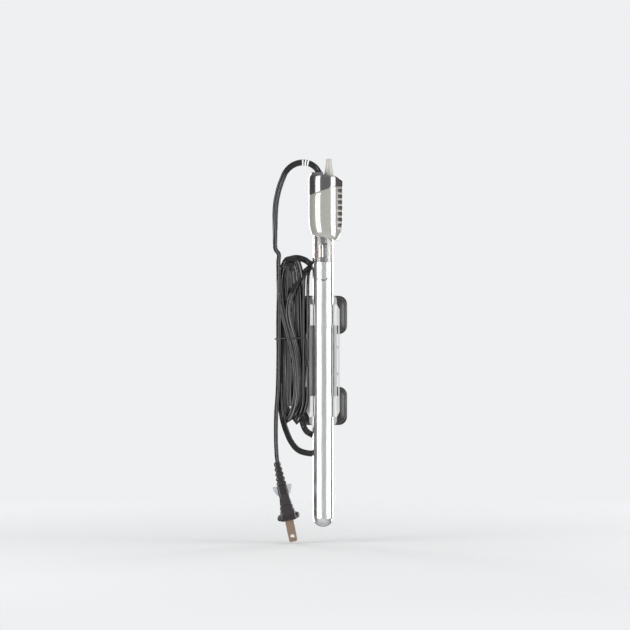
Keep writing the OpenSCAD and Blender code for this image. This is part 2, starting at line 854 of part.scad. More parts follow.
glass_tube();
mirror_lining();
end_cushion();
lower_spacer();
ceramic_core();
heating_coil();
upper_spacer();
support_rods();
heat_shield();
suppression_capacitor();
thermostat_frame();
bimetal_strip();
bimetal_contact();
contact_arm();
arm_contact();
arm_pivot_pin();
snap_magnet();
screw_nut();
adjusting_screw();
live_wire();
neutral_wire();
indicator_lamp();
lamp_resistor();
tube_stopper();
tube_seal();
clamp_collar();
head_shell();
head_top_cover();
side_panel();
side_ribs();
spindle_o_ring();
dial_spindle();
temperature_dial();
cord_grommet();
power_cord();
cord_tie();
plug_body();
plug_collar();
plug_blades();
bracket();
suction_cup_upper();
suction_cup_lower();
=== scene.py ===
"""The looks of a submersible aquarium heater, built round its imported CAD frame.

Lengths are in millimetres until piece() turns them into metres. +Z runs up the glass tube, +Y to the back
and +X to the right.
"""

import json
import math
import random

import bmesh
import bpy
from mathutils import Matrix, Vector


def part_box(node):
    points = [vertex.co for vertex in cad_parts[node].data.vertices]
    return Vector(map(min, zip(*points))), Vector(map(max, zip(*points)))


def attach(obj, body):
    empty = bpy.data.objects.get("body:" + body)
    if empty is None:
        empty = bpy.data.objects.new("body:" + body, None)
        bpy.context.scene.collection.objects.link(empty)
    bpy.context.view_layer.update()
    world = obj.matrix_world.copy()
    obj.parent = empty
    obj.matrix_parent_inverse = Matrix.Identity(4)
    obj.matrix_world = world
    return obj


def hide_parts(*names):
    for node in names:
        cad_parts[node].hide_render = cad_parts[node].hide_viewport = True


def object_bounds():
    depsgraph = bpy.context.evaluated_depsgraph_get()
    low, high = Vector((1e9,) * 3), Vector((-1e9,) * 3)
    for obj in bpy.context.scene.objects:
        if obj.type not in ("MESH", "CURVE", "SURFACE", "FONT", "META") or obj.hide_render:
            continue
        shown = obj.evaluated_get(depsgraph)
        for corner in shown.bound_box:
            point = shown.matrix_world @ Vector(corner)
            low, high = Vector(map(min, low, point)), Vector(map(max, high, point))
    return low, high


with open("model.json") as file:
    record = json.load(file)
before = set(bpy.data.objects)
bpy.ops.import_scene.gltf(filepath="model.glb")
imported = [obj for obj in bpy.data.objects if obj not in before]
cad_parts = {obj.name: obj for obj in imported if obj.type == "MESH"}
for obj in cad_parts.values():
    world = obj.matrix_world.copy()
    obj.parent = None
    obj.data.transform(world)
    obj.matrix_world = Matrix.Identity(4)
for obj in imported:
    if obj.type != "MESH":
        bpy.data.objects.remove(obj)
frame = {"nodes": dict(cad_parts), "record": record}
cad_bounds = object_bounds()
random.seed(7)

MM = 0.001
BLOTCH_MM = 14
ROUGHNESS_SWING = 0.08
RELIEF_MM = 0.1
# Pale edges: partly scuffing, partly a painted edge highlight.
PALE_EDGE_RADIUS_MM = 0.35
SCUFF_AND_HIGHLIGHT_COLOUR = (0.8, 0.8, 0.78, 1)


def size_of(node):
    """Lowest and highest corner of a CAD node, in millimetres."""
    low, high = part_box(node)
    return low / MM, high / MM


# ---------- materials ----------

def finish(name, colour, roughness, metallic=0.0, coat=0.0, vary=0.1, grain=1.2, bump=0.15, scuff_and_highlight=0.0,
           stretch=(1, 1, 1), sheen=0.0, coat_ior=1.5, shine=0.5):
    """A moulded, rolled or rubber surface.

    It has fine grain in its bump, soft blotches in its colour and roughness, and paler edges, which are
    partly scuffing and partly a painted edge highlight. grain is the grain's size in millimetres.
    """
    mat = bpy.data.materials.new(name)
    mat.use_nodes = True
    mat.diffuse_color = (*colour, 1)
    nodes, links = mat.node_tree.nodes, mat.node_tree.links
    shader = nodes["Principled BSDF"]
    shader.inputs["Metallic"].default_value = metallic
    shader.inputs["Coat Weight"].default_value = coat
    shader.inputs["Coat Roughness"].default_value = 0.05
    shader.inputs["Coat IOR"].default_value = coat_ior
    shader.inputs["Sheen Weight"].default_value = sheen
    shader.inputs["Specular IOR Level"].default_value = shine
    place = nodes.new("ShaderNodeTexCoord")
    mapping = nodes.new("ShaderNodeMapping")
    mapping.inputs["Scale"].default_value = stretch
    links.new(place.outputs["Object"], mapping.inputs["Vector"])

    def noise(size_mm, detail):
        node = nodes.new("ShaderNodeTexNoise")
        node.inputs["Scale"].default_value = 1 / (size_mm * MM)
        node.inputs["Detail"].default_value = detail
        links.new(mapping.outputs["Vector"], node.inputs["Vector"])
        return node

    blotch = noise(BLOTCH_MM, 3)
    fine = noise(grain, 4)
    darker = tuple(c * (1 - vary) for c in colour)
    lighter = tuple(min(1, c * (1 + vary)) for c in colour)
    tint = nodes.new("ShaderNodeMix")
    tint.data_type = "RGBA"
    tint.inputs["A"].default_value = (*darker, 1)
    tint.inputs["B"].default_value = (*lighter, 1)
    links.new(blotch.outputs["Fac"], tint.inputs["Factor"])
    base = tint.outputs["Result"]
    # Paler edges mixed into the colour: a painted edge highlight as well as scuffing.
    if scuff_and_highlight:
        base = scuffed_and_highlit_edges(nodes, links, base, fine, scuff_and_highlight)
    links.new(base, shader.inputs["Base Color"])
    rough = nodes.new("ShaderNodeMapRange")
    rough.inputs["To Min"].default_value = max(0.02, roughness - ROUGHNESS_SWING)
    rough.inputs["To Max"].default_value = min(1, roughness + ROUGHNESS_SWING)
    links.new(blotch.outputs["Fac"], rough.inputs["Value"])
    links.new(rough.outputs["Result"], shader.inputs["Roughness"])
    relief = nodes.new("ShaderNodeBump")
    relief.inputs["Strength"].default_value = bump
    relief.inputs["Distance"].default_value = RELIEF_MM * MM
    links.new(fine.outputs["Fac"], relief.inputs["Height"])
    links.new(relief.outputs["Normal"], shader.inputs["Normal"])
    return mat


def scuffed_and_highlit_edges(nodes, links, base, fine, amount):
    """Lightens the base colour where the surface turns sharply, broken up by the fine noise: partly
    scuffing, partly a painted edge highlight.
    """
    soft = nodes.new("ShaderNodeBevel")
    soft.samples = 3
    soft.inputs["Radius"].default_value = PALE_EDGE_RADIUS_MM * MM
    true = nodes.new("ShaderNodeNewGeometry")
    turn = nodes.new("ShaderNodeVectorMath")
    turn.operation = "DOT_PRODUCT"
    links.new(soft.outputs["Normal"], turn.inputs[0])
    links.new(true.outputs["Normal"], turn.inputs[1])
    edge = nodes.new("ShaderNodeMapRange")
    edge.inputs["From Min"].default_value = 0.995
    edge.inputs["From Max"].default_value = 0.8
    edge.inputs["To Max"].default_value = amount
    links.new(turn.outputs["Value"], edge.inputs["Value"])
    broken = nodes.new("ShaderNodeMath")
    broken.operation = "MULTIPLY"
    links.new(edge.outputs["Result"], broken.inputs[0])
    links.new(fine.outputs["Fac"], broken.inputs[1])
    # The pale colour on the edges: a painted highlight along with scuffing.
    pale_edge_mix = nodes.new("ShaderNodeMix")
    pale_edge_mix.data_type = "RGBA"
    pale_edge_mix.inputs["B"].default_value = SCUFF_AND_HIGHLIGHT_COLOUR
    links.new(broken.outputs["Value"], pale_edge_mix.inputs["Factor"])
    links.new(base, pale_edge_mix.inputs["A"])
    return pale_edge_mix.outputs["Result"]


def clear(name, colour, roughness=0.02, ior=1.47):
    """Clear glass with faint drawn streaks in its surface."""
    mat = finish(name, colour, 0.1, vary=0.01, grain=6, bump=0.02, stretch=(1, 1, 0.1))
    shader = mat.node_tree.nodes["Principled BSDF"]
    shader.inputs["Transmission Weight"].default_value = 1
    shader.inputs["IOR"].default_value = ior
    link = shader.inputs["Roughness"].links[0]
    link.from_node.inputs["To Min"].default_value = roughness
    link.from_node.inputs["To Max"].default_value = roughness + 0.04
    return mat


LOOK = {
    "tube_glass": clear("borosilicate_glass", (0.97, 0.98, 0.98)),
    "mirror_film": finish("mirror_film", (0.9, 0.9, 0.89), 0.33, 1.0, vary=0.05, grain=5, bump=0.2,
                          stretch=(1, 1, 0.14)),
    "glass_fibre": finish("glass_fibre", (0.75, 0.75, 0.72), 0.9, grain=0.5, bump=0.9, sheen=0.4),
    "ceramic_white": finish("pressed_ceramic", (0.78, 0.76, 0.7), 0.62, grain=0.4, bump=0.5, scuff_and_highlight=0.3),
    "shield_board": finish("mineral_board", (0.62, 0.53, 0.38), 0.85, grain=0.8, bump=0.7, vary=0.2),
    "resistance_wire": finish("oxidised_wire", (0.25, 0.22, 0.21), 0.45, 1.0, vary=0.35, grain=0.6),
    "steel_wire": finish("drawn_wire", (0.6, 0.6, 0.6), 0.3, 1.0, grain=0.5, stretch=(1, 1, 0.08)),
    "capacitor_coat": finish("dipped_coat", (0.5, 0.2, 0.06), 0.25, coat=0.6, grain=1.5, bump=0.3),
    "phenolic_board": finish("phenolic_board", (0.42, 0.25, 0.12), 0.6, vary=0.25, grain=0.7, bump=0.4,
                             scuff_and_highlight=0.4, stretch=(1, 1, 0.3)),
    "bimetal": finish("rolled_bimetal", (0.62, 0.5, 0.37), 0.35, 1.0, grain=0.5, stretch=(1, 1, 0.05)),
    "contact_silver": finish("silver_rivet", (0.85, 0.84, 0.8), 0.22, 1.0, grain=0.3),
    "spring_brass": finish("spring_brass", (0.7, 0.52, 0.22), 0.3, 1.0, vary=0.18, grain=0.5,
                           stretch=(1, 1, 0.1)),
    "magnet_iron": finish("sintered_magnet", (0.16, 0.16, 0.17), 0.6, 0.6, grain=0.3, bump=0.6, scuff_and_highlight=0.5),
    "wire_brown": finish("brown_sleeve", (0.2, 0.09, 0.05), 0.35, grain=1, scuff_and_highlight=0.1),
    "wire_blue": finish("blue_sleeve", (0.08, 0.17, 0.4), 0.35, grain=1, scuff_and_highlight=0.1),
    "lamp_glass": clear("lamp_glass", (0.9, 0.85, 0.8)),
    "resistor_body": finish("lacquered_ceramic", (0.66, 0.5, 0.3), 0.35, coat=0.3, grain=0.8),
    "rubber_black": finish("black_rubber", (0.03, 0.03, 0.03), 0.55, grain=0.6, bump=0.4, vary=0.25),
    "collar_white": finish("white_collar", (0.8, 0.8, 0.78), 0.35, grain=0.9, scuff_and_highlight=0.2),
    "head_grey": finish("warm_grey_gloss", (0.3, 0.295, 0.265), 0.3, coat=1.0, vary=0.03, grain=1.1,
                        bump=0.02, scuff_and_highlight=0.4, coat_ior=2.4),
    "head_charcoal": finish("charcoal_gloss", (0.02, 0.014, 0.013), 0.3, coat=1.0, vary=0.1, grain=1.1,
                            bump=0.02, scuff_and_highlight=0.35, coat_ior=2.4),
    "panel_grey": finish("panel_grey", (0.42, 0.41, 0.39), 0.35, grain=0.8, vary=0.05, bump=0.1, scuff_and_highlight=0.3),
    "rib_black": finish("grip_block", (0.035, 0.025, 0.022), 0.4, grain=0.5, bump=0.3, vary=0.2, scuff_and_highlight=0.2),
    "spindle_nylon": finish("natural_nylon", (0.68, 0.66, 0.6), 0.4, grain=0.8, scuff_and_highlight=0.2),
    "dial_grey": finish("dial_grey", (0.43, 0.42, 0.38), 0.36, coat=0.15, grain=0.8, vary=0.06, bump=0.12,
                        scuff_and_highlight=0.6),
    "cord_black": finish("cord_sheath", (0.004, 0.003, 0.0028), 0.45, coat=1.0, grain=1.4, vary=0.3,
                         bump=0.12, coat_ior=1.56, shine=0.05),
    # The cord's pale bands: painted glare.
    "cord_band": finish("painted_glare_band", (0.85, 0.86, 0.86), 0.3, grain=0.8, scuff_and_highlight=0.1),
    "tie_grey": finish("tie_wire", (0.05, 0.048, 0.046), 0.35, 0.4, grain=0.5, vary=0.7, bump=0.6,
                       coat=0.4),
    "plug_black": finish("moulded_plug", (0.02, 0.017, 0.017), 0.4, coat=0.7, shine=0.2, grain=0.7,
                         bump=0.25, vary=0.2, scuff_and_highlight=0.4),
    # Pale grey for the plug's wings: a painted highlight on their facets.
    "collar_grey": finish("plug_collar_painted_highlight", (0.4, 0.43, 0.46), 0.25, coat=0.3, grain=0.8, scuff_and_highlight=0.4),
    "blade_brass": finish("rolled_blade", (0.5, 0.37, 0.27), 0.32, 1.0, vary=0.25, grain=0.6, scuff_and_highlight=0.5,
                          stretch=(1, 1, 0.15)),
    "bracket_white": finish("white_gloss", (0.7, 0.705, 0.69), 0.3, coat=0.8, vary=0.02, grain=1.1,
                            bump=0.04, scuff_and_highlight=0.1, coat_ior=1.7),
    "cup_rubber": finish("cup_rubber", (0.02, 0.019, 0.0185), 0.36, grain=0.9, bump=0.25, vary=0.2,
                         sheen=0.15),
    "print_ink": finish("printed_ink", (0.06, 0.055, 0.05), 0.5, grain=0.5, bump=0.3),
}


# ---------- mesh helpers ----------

WELD_MM = 0.002


def piece(name, shape, slot, body="heater", stands_for=(), crease=40, bevel=0.0):
    """Makes an object from (vertices in millimetres, faces), gives it its finish and body, and hides the
    CAD nodes it stands for.
    """
    verts, faces = shape
    mesh = bpy.data.meshes.new(name)
    mesh.from_pydata([Vector(v) * MM for v in verts], [], faces)
    work = bmesh.new()
    work.from_mesh(mesh)
    bmesh.ops.remove_doubles(work, verts=work.verts, dist=WELD_MM * MM)
    bmesh.ops.recalc_face_normals(work, faces=work.faces)
    work.to_mesh(mesh)
    work.free()
    mesh.shade_smooth()
    mesh.set_sharp_from_angle(angle=math.radians(crease))
    mesh.materials.append(LOOK[slot])
    obj = bpy.data.objects.new(name, mesh)
    bpy.context.scene.collection.objects.link(obj)
    if bevel:
        round_edges(obj, bevel, crease)
    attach(obj, body)
    if stands_for:
        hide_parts(*stands_for)
    return obj


def round_edges(obj, width, angle=40):
    """Rounds the sharp edges by width millimetres."""
    bevel = obj.modifiers.new("edges", "BEVEL")
    bevel.width = width * MM
    bevel.segments = 3
    bevel.limit_method = "ANGLE"
    bevel.angle_limit = math.radians(angle)
    bevel.harden_normals = True


def joined(*shapes):
    """Several (vertices, faces) shapes as one."""
    verts, faces = [], []
    for some_verts, some_faces in shapes:
        start = len(verts)
        verts += list(some_verts)
        faces += [tuple(start + i for i in face) for face in some_faces]
    return verts, faces


def loft(rings, wrap=False):
    """Skins rings of equal length. The ends are capped, or joined to each other when wrap is set."""
    count = len(rings[0])
    verts = [p for ring in rings for p in ring]
    faces = []
    for i in range(len(rings) - (0 if wrap else 1)):
        a, b = i * count, (i + 1) % len(rings) * count
        for j in range(count):
            k = (j + 1) % count
            faces.append((a + j, a + k, b + k, b + j))
    if not wrap:
        faces.append(tuple(reversed(range(count))))
        faces.append(tuple(range(len(verts) - count, len(verts))))
    return verts, faces


def circle(r, steps=96, start=0.0):
    return [(r * math.cos(start + math.tau * i / steps), r * math.sin(start + math.tau * i / steps))
            for i in range(steps)]


def lathe(profile, centre=(0, 0), steps=96, wrap=True):
    """Turns pairs of radius and height about an upright axis."""
    rings = [[(centre[0] + x, centre[1] + y, z) for x, y in circle(r, steps)] for r, z in profile]
    return loft(rings, wrap)


def arc(centre, r, start, end, steps=8):
    """Points of an arc, as (u, v), with its angles in degrees."""
    return [(centre[0] + r * math.cos(math.radians(start + (end - start) * i / steps)),
             centre[1] + r * math.sin(math.radians(start + (end - start) * i / steps)))
            for i in range(steps + 1)]


def round_rect(half_w, half_h, r, steps=6):
    """Outline of a rectangle with round corners."""
    r = min(r, half_w - 0.01, half_h - 0.01)
    out = []
    for quarter, (sx, sy) in enumerate([(1, 1), (-1, 1), (-1, -1), (1, -1)]):
        out += arc((sx * (half_w - r), sy * (half_h - r)), r, 90 * quarter, 90 * quarter + 90, steps)
    return out


def smooth_path(points, per=12):
    """A Catmull-Rom curve through 3-D points."""
    pts = [Vector(p) for p in points]
    pts = [2 * pts[0] - pts[1]] + pts + [2 * pts[-1] - pts[-2]]
    out = []
    for a, b, c, d in zip(pts, pts[1:], pts[2:], pts[3:]):
        for i in range(per):
            t = i / per
            out.append(0.5 * (2 * b + (c - a) * t + (2 * a - 5 * b + 4 * c - d) * t * t
                              + (3 * b - a - 3 * c + d) * t ** 3))
    out.append(pts[-2])
    return out


def blend(values, t):
    """Interpolates smoothly along a list of (position, value)."""
    if t <= values[0][0]:
        return values[0][1]
    for (p, a), (q, b) in zip(values, values[1:]):
        if t <= q:
            s = (t - p) / (q - p)
            return a + (b - a) * s * s * (3 - 2 * s)
    return values[-1][1]


def sweep(path, section, roll=lambda t: 0.0):
    """Carries a section along a path that lies mostly in the X-Z plane.

    At roll 0 the section's first coordinate lies in that plane, and at roll 90 it points to the back.
    """
    back = Vector((0, 1, 0))
    rings = []
    for i, point in enumerate(path):
        t = i / (len(path) - 1)
        along = (path[min(i + 1, len(path) - 1)] - path[max(i - 1, 0)]).normalized()
        side = back.cross(along).normalized()
        depth = along.cross(side)
        turn = math.radians(roll(t))
        u_dir = side * math.cos(turn) + depth * math.sin(turn)
        v_dir = depth * math.cos(turn) - side * math.sin(turn)
        rings.append([point + u_dir * u + v_dir * v for u, v in section])
    return loft(rings)


# ---------- glass tube ----------

def dome(r):
    """Profile of a half sphere below z = 0, from its lowest point up."""
    return arc((0, 0), r, -90, 0, 15)


def test_tube(name, slot, r, bore, top, lip):
    """A tube with a domed lower end. Short steps beside dome and lip keep its walls' shading level."""
    step = 0.8
    walls = [(r, step), (r, top - lip - step)]
    inner_walls = [(bore, top - lip - step), (bore, step)]
    mouth = arc((r - lip, top - lip), lip, 0, 180, 6)
    profile = dome(r) + walls + mouth + inner_walls + dome(bore)[::-1]
    piece(name, lathe(profile, wrap=False), slot, stands_for=[name])


def glass_tube():
    """The glass, which leaves a thin gap to the lining inside it."""
    high = size_of("glass_tube")[1]
    clearance = 0.05
    bore = size_of("mirror_lining")[1].x + clearance
    test_tube("glass_tube", "tube_glass", high.x, bore, high.z, (high.x - bore) / 2)


def mirror_lining():
    """The mirrored film inside the glass, open at its upper end."""
    thick = 0.2
    high = size_of("mirror_lining")[1]
    test_tube("mirror_lining", "mirror_film", high.x, high.x - thick, high.z, thick / 2)


def printed_line(name, z, start, end, wave, thick):
    """A thin wavy line printed on the glass, from one angle to another as seen from above."""
    clearance, proud, steps = 0.02, 0.06, 40
    inner = size_of("glass_tube")[1].x + clearance
    outer = inner + proud
    rings = []
    for i in range(steps + 1):
        t = i / steps
        a = math.radians(start + (end - start) * t)
        mid = z + wave * math.sin(t * math.tau * 1.5)
        half = thick * (1 + 0.5 * math.sin(t * 17))
        corners = [(inner, mid - half), (outer, mid - half), (outer, mid + half), (inner, mid + half)]
        rings.append([(r * math.cos(a), r * math.sin(a), corner_z) for r, corner_z in corners])
    piece(name, loft(rings), "print_ink")


# ---------- head ----------

BARREL_R = 12.0
NOSE_R = 3.0
NOSE_X = 12.2
BARREL_X = NOSE_X - 11.5
FLANK = math.degrees(math.acos((BARREL_R - NOSE_R) / (NOSE_X - BARREL_X)))
HEAD_MID_X = 2.0
HEAD_LOW = size_of("head_shell")[0].z
FOOT_X = 11.7
FOOT_SLOPE = 0.17
HEAD_HIGH = size_of("head_top_cover")[1].z
SEAT_Z = HEAD_HIGH - 3
JOINT_X = 9.0
JOINT_Z = HEAD_HIGH - 11
JOINT_SLOPE = 0.34
HEAD_WALL = 1.6
ENVELOPE_R = 13.4


def joint_z(x):
    """Height of the joint between shell and cover, which falls towards the left."""
    return JOINT_Z + JOINT_SLOPE * min(0, x - JOINT_X)


def foot_z(x):
    """Height of the shell's foot, which rises towards the left."""
    return HEAD_LOW + FOOT_SLOPE * max(0, FOOT_X - x)


def roof_z(x):
    """Height of the cover's roof: a high shelf on the left, the dial's seat, then a slope to the nose."""
    shelf = [(-20, HEAD_HIGH), (-0.4, HEAD_HIGH)]
    seat = [(0.5, SEAT_Z), (8.4, SEAT_Z)]
    slope = [(13.8, HEAD_HIGH - 5.6), (16, HEAD_HIGH - 7)]
    return blend(shelf + seat + slope, x)


def head_outline(inset):
    """The head seen from above: a round barrel with flat flanks that meet in a small round nose."""
    smallest_nose = 0.6
    barrel = arc((BARREL_X, 0), BARREL_R - inset, FLANK, 360 - FLANK, 72)
    nose = arc((NOSE_X, 0), max(smallest_nose, NOSE_R - inset), -FLANK, FLANK, 20)
    return barrel + nose


def drawn_in(point, z, inset):
    """Pulls a point of the outline in towards the head's middle near its lower and upper edges."""
    up, down = max(0, z - HEAD_LOW), max(0, HEAD_HIGH - z)
    foot_h, foot_in, foot_curve = 20, 4.2, 2.1
    crown_h, crown_in, crown_curve = 6, 2.6, 1.9
    softness, slack = 24, 1.01
    at_foot = foot_in * max(0, 1 - up / foot_h) ** foot_curve
    at_crown = crown_in * max(0, 1 - down / crown_h) ** crown_curve
    limit = ENVELOPE_R - at_foot - at_crown
    x, y = point[0] - HEAD_MID_X, point[1]
    reach = math.hypot(x, y)
    limit -= inset
    keep = 1 / (1 + (reach / limit) ** softness) ** (1 / softness) * slack
    keep = min(1, keep)
    return x * keep + HEAD_MID_X, y * keep


def head_ring(inset, height):
    """One ring of the head, with its height given as a function of x."""
    out = []
    for point in head_outline(inset):
        z = height(point[0])
        x, y = drawn_in(point, z, inset)
        out.append((x, y, z))
    return out


def tube_ring(r, z):
    """A round ring about the tube with one point for each point of the head's outline."""
    out = []
    for x, y in head_outline(0):
        a = math.atan2(y, x)
        out.append((r * math.cos(a), r * math.sin(a), z))
    return out


def head_shell():
    """The lower shell: outside from foot to joint, inside, and the stepped bore for tube and seal."""
    edge, rim, foot_round = 0.25, 0.05, 0.45
    heights = [0.0, 0.02, 0.05, 0.09, 0.14, 0.2, 0.27, 0.35, 0.5, 0.65, 0.8, 0.92]
    outer = [head_ring(0.5, foot_z), head_ring(0.15, lambda x: foot_z(x) + 0.15)]
    for t in heights:
        outer.append(head_ring(0, lambda x, t=t: foot_z(x) + foot_round
                               + (joint_z(x) - edge - foot_z(x) - foot_round) * t))
    outer.append(head_ring(0, lambda x: joint_z(x) - edge))
    outer.append(head_ring(0.12, lambda x: joint_z(x) - rim))
    seal_r, tube_hole, pocket_low, pocket_high = 9.42, 8.06, HEAD_LOW + 11, HEAD_LOW + 15.1
    inner = [head_ring(HEAD_WALL, lambda x: joint_z(x) - rim), head_ring(HEAD_WALL, lambda x: pocket_high)]
    bore = [tube_ring(seal_r, pocket_high), tube_ring(seal_r, pocket_low), tube_ring(tube_hole, pocket_low),
            [(x, y, foot_z(x)) for x, y, _ in tube_ring(tube_hole, 0)]]
    shape = loft(outer + inner + bore, wrap=True)
    piece("head_shell", shape, "head_grey", stands_for=["head_shell"], crease=32)


def shrunk(x, y, keep):
    """A point of the head moved towards its middle."""
    return HEAD_MID_X + (x - HEAD_MID_X) * keep, y * keep


def head_top_cover():
    """The cover's skin from the joint over the roof, and back down its inside to the joint."""
    gap, edge, roof_round, ceiling_z = 0.02, 0.2, 0.4, SEAT_Z - HEAD_WALL
    outer = [head_ring(HEAD_WALL, lambda x: joint_z(x) + gap), head_ring(0.12, lambda x: joint_z(x) + gap),
             head_ring(0, lambda x: joint_z(x) + gap + edge)]
    for t in (0.15, 0.3, 0.45, 0.6, 0.72, 0.82, 0.9, 0.96):
        outer.append(head_ring(0, lambda x, t=t: joint_z(x) + (roof_z(x) - roof_round - joint_z(x)) * t))
    outer.append(head_ring(0.12, lambda x: roof_z(x) - 0.3))
    outer.append(head_ring(0.45, lambda x: roof_z(x) - 0.03))
    top = outer[-1]
    for keep in (0.93, 0.82, 0.68, 0.52, 0.35, 0.18):
        inward = [shrunk(x, y, keep) for x, y, _ in top]
        outer.append([(x, y, roof_z(x)) for x, y in inward])
    inside = head_ring(HEAD_WALL, lambda x: ceiling_z)
    under = [[(*shrunk(x, y, keep), ceiling_z) for x, y, _ in inside] for keep in (0.18, 0.5, 0.8)]
    under.append(head_ring(HEAD_WALL + 0.4, lambda x: min(SEAT_Z, roof_z(x)) - HEAD_WALL))
    shape = loft(outer + under, wrap=True)
    piece("head_top_cover", shape, "head_charcoal", stands_for=["head_top_cover"], crease=32)


def flank_frame():
    """Middle of the nose's front flank, with its direction along the outline and its outward direction."""
    a = math.radians(FLANK)
    out = Vector((math.cos(a), -math.sin(a), 0))
    reach = (BARREL_R + NOSE_R) / 2
    middle = Vector(((BARREL_X + NOSE_X) / 2, 0, 0)) + out * reach
    return middle, Vector((math.sin(a), math.cos(a), 0)), out


def flank_plate(half_w, low, high, depth, lift, corner=0.8):
    """A thin plate on the flank, leaning in with the head's lower end."""
    middle, along, out = flank_frame()
    edge = 0.12
    rings = []
    for inset, rise in ((0, 0), (0, depth - edge), (edge, depth)):
        ring = []
        for u, v in round_rect(half_w - inset, (high - low) / 2 - inset, corner):
            z = (low + high) / 2 + v
            base = middle + along * u
            x, y = drawn_in((base.x, base.y), z, 0)
            ring.append(Vector((x, y, z)) + out * (lift + rise))
        rings.append(ring)
    return loft(rings)


PANEL_THICK = 0.4


def side_panel():
    """The flat panel on the nose's front flank, let a little way down past its CAD node."""
    low, high = size_of("side_panel")
    half_w, hang, lift = 3, 2, 0.01
    plate = flank_plate(half_w, low.z - hang, high.z, PANEL_THICK, lift)
    piece("side_panel", plate, "panel_grey", stands_for=["side_panel"])


def side_ribs():
    """A column of plain blocks on the side panel."""
    low, high = size_of("side_ribs")
    count, gap, half_w, thick, corner = 7, 1.5, 2.5, 0.3, 0.35
    pitch = (high.z - low.z + gap) / count
    feet = [low.z + i * pitch for i in range(count)]
    plates = [flank_plate(half_w, z, z + pitch - gap, thick, PANEL_THICK, corner) for z in feet]
    piece("side_ribs", joined(*plates), "rib_black", stands_for=["side_ribs"])


def temperature_dial():
    """A tapering knob with flat grips, a small foot and a rounded tip."""
    low, high = size_of("temperature_dial")
    axis_x = (low.x + high.x) / 2
    foot, tip, flats = (high.x - low.x) / 2, 2.1, 12
    h = high.z - low.z
    round_foot = [(0, foot - 0.15), (0.15, foot), (0.7, foot), (1.0, foot - 0.2)]
    grip = [(1.15, 3.65), (3, 3.32), (6, 2.8), (9, 2.42), (h - 0.7, tip), (h - 0.3, tip - 0.14),
            (h - 0.06, tip - 0.5)]
    round_tip = [(h, tip - 0.9), (h, 0.6)]
    steps = flats * 4
    rings = []
    for up, r in round_foot + grip + round_tip:
        ring = []
        for i in range(steps):
            a = math.tau * i / steps
            off = (a + math.pi / flats) % (math.tau / flats) - math.pi / flats
            flat = math.cos(math.pi / flats) / math.cos(off)
            reach = r * (flat if (up, r) in grip else 1)
            ring.append((axis_x + reach * math.cos(a), reach * math.sin(a), low.z + up))
        rings.append(ring)
    piece("temperature_dial", loft(rings), "dial_grey", "dial", ["temperature_dial"], crease=24)


# ---------- power cord ----------

CORD_W = 4.6
CORD_T = 2.2


def cord_section(width=CORD_W, thick=CORD_T):
    """Two round cores side by side with a groove between them."""
    off = (width - thick) / 2
    return arc((off, 0), thick / 2, -140, 140, 14) + arc((-off, 0), thick / 2, 40, 320, 14)


def walk(start, heading, steps):
    """Points along straight runs [length, 0] and bends [radius, turn] in the X-Z plane.

    Heading 0 is up, and a positive turn goes towards +X.
    """
    here, angle = Vector(start), math.radians(heading)
    out = [here.copy()]
    for size, turn in steps:
        if turn == 0:
            pieces = max(2, int(size / 3))
            for _ in range(pieces):
                here = here + Vector((math.sin(angle), 0, math.cos(angle))) * size / pieces
                out.append(here.copy())
            continue
        bends = max(4, int(abs(turn) / 5))
        step = math.radians(turn) / bends
        for _ in range(bends):
            chord = 2 * size * math.sin(abs(step) / 2)
            here = here + Vector((math.sin(angle + step / 2), 0, math.cos(angle + step / 2))) * chord
            angle += step
            out.append(here.copy())
    return out


def rolling(*stops):
    """A roll that changes smoothly between stops of (share of the way, degrees)."""
    return lambda t: blend(stops, t)


def supply_lead():
    """From inside the head over the arch, down beside the bundle and into the plug."""
    exit_x, top_z, arch_top_x, hidden = -2.0, 268.9, -15.0, 29
    arch = walk((exit_x, 0, top_z - hidden), 0, [[16, 0], [13, -90], [16, -65], [74, -25]])
    run_x = arch[-1].x
    kink = [(0, 0, 218), (0, 0, 207), (0.5, 0, 202.6), (2.9, -0.3, 198.8), (2.5, -0.6, 193)]
    beside_bundle = [(2.6, -0.7, 185), (2.8, -0.7, 150), (2.5, -0.7, 118), (2, -0.6, 96), (0.8, 0, 78)]
    to_plug = [(0.6, 0, 60), (1.2, 0, 46), (2.3, 0, 38.5), (3.6, 0, 33)]
    down = [(run_x + x, y, z) for x, y, z in kink + beside_bundle + to_plug]
    path = arch[:-1] + smooth_path([arch[-1]] + down, 8)
    total = len(path) - 1
    roll = rolling((0, 0), (26 / total, 0), (60 / total, 62), (1, 66))
    shape = sweep(path, cord_section(), roll)
    piece("supply_lead", shape, "cord_black", stands_for=["power_cord"], crease=60)
    arch_top = min(arch, key=lambda point: abs(point.x - arch_top_x))
    # Three pale bands near the arch's top: painted glare on the cord.
    for n, shift in enumerate((-0.4, 1.6, 3.5)):
        cord_band(f"cord_band_{n + 1}", arch_top, shift)


def cord_band(name, arch_top, shift):
    """A pale band round the cord, shift to the right of the arch's top: a painted highlight of glare on the
    cord.
    """
    width, proud, arch_r = 1.0, 0.16, 13
    drop = shift * shift / (2 * arch_r) if shift > 0 else 0.01
    lean = math.atan2(max(0, shift), arch_r)
    place = arch_top + Vector((shift, 0, -drop))
    half = Vector((-math.cos(lean), 0, math.sin(lean))) * width / 2
    section = cord_section(CORD_W + proud, CORD_T + proud)
    piece(name, sweep([place - half, place, place + half], section), "cord_band", crease=60)


